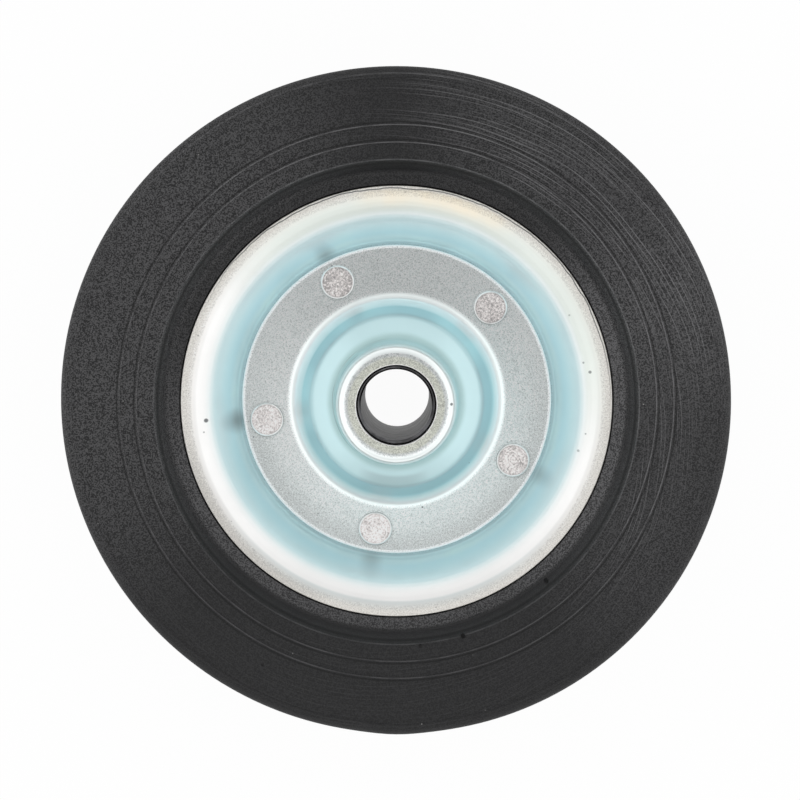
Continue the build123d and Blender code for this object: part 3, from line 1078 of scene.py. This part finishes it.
class WHEEL_OT_rivets(WheelOperator, bpy.types.Operator):
    """Make the rivets that hold the pressings together"""

    bl_idname = "wheel.rivets"
    bl_label = "Rivets"

    def execute(self, context):
        """Turns one rivet's section about its own line and carries it to each place on the circle.

        The section stops a hundredth of a millimetre from that line, where a small ring of faces joins
        its two ends.
        """
        settings = context.scene.wheel
        rivets = settings.rivets
        face = settings.rim.sheet + settings.hub.sheet
        top = face + rivets.rise
        upper = [
            (rivets.shank, 0.0),
            (rivets.shank, face - rivets.seat),
            (rivets.head, face),
            (rivets.head, top - rivets.bevel),
            (rivets.head - rivets.bevel, top),
            (RIVET_POLE, top),
        ]
        corners = upper + [(radius, -height) for radius, height in upper[:0:-1]]
        loop = rounded_loop(corners, RIVET_ROUNDS + RIVET_ROUNDS[:0:-1], RIVET_PACE)
        rivet, quads = turned_surface(loop, RIVET_TURNS)
        angle = rivets.first_angle + np.arange(rivets.count) * (2 * pi / rivets.count)
        middle = np.stack([np.cos(angle), np.sin(angle), 0 * angle], axis=1) * rivets.circle
        points = (middle[:, None] + rivet).reshape(-1, 3)
        firsts = np.arange(rivets.count) * len(rivet)
        piece = new_piece("rivets_skin", points, (quads + firsts[:, None, None]).reshape(-1, 4))
        dress(piece, rivet_material(rivets), "rivets")
        return {"FINISHED"}


class WHEEL_OT_sleeve(WheelOperator, bpy.types.Operator):
    """Make the axle sleeve"""

    bl_idname = "wheel.sleeve"
    bl_label = "Axle sleeve"

    def execute(self, context):
        """Turns the sleeve's section, with its chamfers just broken by small roundings."""
        sleeve = context.scene.wheel.sleeve
        end, bore, outer = sleeve.end_height, sleeve.bore, sleeve.radius
        corners = [
            (outer, -end + sleeve.corner),
            (outer, end - sleeve.corner),
            (outer - sleeve.corner, end),
            (bore + sleeve.chamfer, end),
            (bore, end - sleeve.chamfer),
            (bore, -end + sleeve.chamfer),
            (bore + sleeve.chamfer, -end),
            (outer - sleeve.corner, -end),
        ]
        loop = rounded_loop(corners, [CHAMFER_ROUND] * len(corners), SLEEVE_PACE)
        piece = new_piece("sleeve_skin", *turned_surface(loop, SLEEVE_TURNS))
        dress(piece, sleeve_material(sleeve), "hub_sleeve")
        return {"FINISHED"}


class WHEEL_OT_stage(WheelOperator, bpy.types.Operator):
    """Set up the floor, the soft light and the camera"""

    bl_idname = "wheel.stage"
    bl_label = "Stage"

    def execute(self, context):
        """Lays the floor under the hub's end, lights it from all round and looks down at the wheel."""
        scene = context.scene
        stage = scene.wheel.stage
        corners = np.array([(-1.0, -1.0, 0.0), (1.0, -1.0, 0.0), (1.0, 1.0, 0.0), (-1.0, 1.0, 0.0)])
        corners = corners * stage.floor_half_width + (0.0, 0.0, PACKED_BOX[0][2])
        floor = new_piece("floor", corners, np.array([[0, 1, 2, 3]]))
        floor.data.materials.append(floor_material(stage))
        soft_light(scene, stage)
        place_camera(scene, stage)
        scene.view_settings.view_transform = "Standard"
        return {"FINISHED"}


def soft_light(scene, stage):
    """World light like a white tent: dim straight above, brightest half way down, white at the horizon.

    The strength follows the angle from an axis that leans a little to +Y. A dim patch lies beside that
    axis on the +Y side, where the tent is open, and both ends of the Y axis are a little dimmer than X.
    """
    world = bpy.data.worlds.new("soft_tent")
    world.use_nodes = True
    wiring = Wiring(world.node_tree)
    direction = wiring.add("TexCoord")["Generated"]
    x, y, z = wiring.parts(direction)
    lean = radians(3.0)
    near = wiring.vector("DOT_PRODUCT", direction, (0.0, sin(lean), cos(lean)))
    angle = wiring.number("DIVIDE", wiring.number("ARCCOSINE", near), pi)
    brightness = wiring.add("ValToRGB", {0: angle})[0]
    stops = [
        (0.0, 0.17), (7.0, 0.20), (13.0, 0.46), (21.0, 0.98), (30.0, 1.16), (42.0, 1.14),
        (52.0, 1.04), (62.0, 1.02), (72.0, 1.12), (80.0, 1.22), (92.0, 1.10), (105.0, 1.0), (180.0, 1.0),
    ]
    elements = brightness.node.color_ramp.elements
    while len(elements) < len(stops):
        elements.new(0.5)
    for element, (degrees, level) in zip(elements, stops):
        element.position = degrees / 180
        element.color = (level, level, level, 1.0)
    high = z.fade(0.22, 0.45)
    ends = y.fade(-0.55, -0.85, 0.0, 0.26) * high + y.fade(0.50, 0.80, 0.0, 0.14) * high
    patch = y.fade(0.16, 0.34) * y.fade(0.80, 0.50) * abs(x).fade(0.60, 0.20) * stage.dim_patch
    strength = (1.0 - (ends + patch)) * stage.sky
    wiring.surface(wiring.add("Background", {"Color": brightness, "Strength": strength})[0])
    scene.world = world


def place_camera(scene, stage):
    """Camera whose picture has +Y at the top.

    Its own Z points back along the view, its X is Y cross Z, and its Y is Z cross X.
    """
    back = -Vector(stage.camera_aim).normalized()
    right = Vector((0.0, 1.0, 0.0)).cross(back).normalized()
    up = back.cross(right)
    data = bpy.data.cameras.new("camera")
    data.lens, data.sensor_width = stage.lens, 36.0
    data.clip_start, data.clip_end = 0.01, 20.0
    camera = bpy.data.objects.new("camera", data)
    turn = Matrix((right, up, back)).transposed().to_4x4()
    camera.matrix_world = Matrix.Translation(Vector(stage.camera_place)) @ turn
    scene.collection.objects.link(camera)
    scene.camera = camera


OPERATORS = (WHEEL_OT_tyre, WHEEL_OT_rim, WHEEL_OT_hub, WHEEL_OT_rivets, WHEEL_OT_sleeve, WHEEL_OT_stage)


class WHEEL_PT_panel(bpy.types.Panel):
    """Panel with the wheel's operators, sizes and colours"""

    bl_label = "Jockey Wheel"
    bl_idname = "WHEEL_PT_panel"
    bl_space_type = "VIEW_3D"
    bl_region_type = "UI"
    bl_category = "Wheel"

    def draw(self, context):
        """Lists each operator with the settings that it reads."""
        settings = context.scene.wheel
        for operator, (name, group) in zip(OPERATORS, PROPERTY_GROUPS.items()):
            box = self.layout.box()
            box.operator(operator.bl_idname)
            for key in group.__annotations__:
                box.prop(getattr(settings, name), key)


CLASSES = (*PROPERTY_GROUPS.values(), WheelSettings, *OPERATORS, WHEEL_PT_panel)


def register():
    """Makes the classes and the scene's settings known, so that the operators can run."""
    for kind in CLASSES:
        bpy.utils.register_class(kind)
    bpy.types.Scene.wheel = PointerProperty(type=WheelSettings)


def unregister():
    """Takes them away again."""
    del bpy.types.Scene.wheel
    for kind in reversed(CLASSES):
        bpy.utils.unregister_class(kind)


def main():
    """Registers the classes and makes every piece."""
    register()
    for operator in OPERATORS:
        group, name = operator.bl_idname.split(".")
        getattr(getattr(bpy.ops, group), name)()


if __name__ == "__main__":
    main()
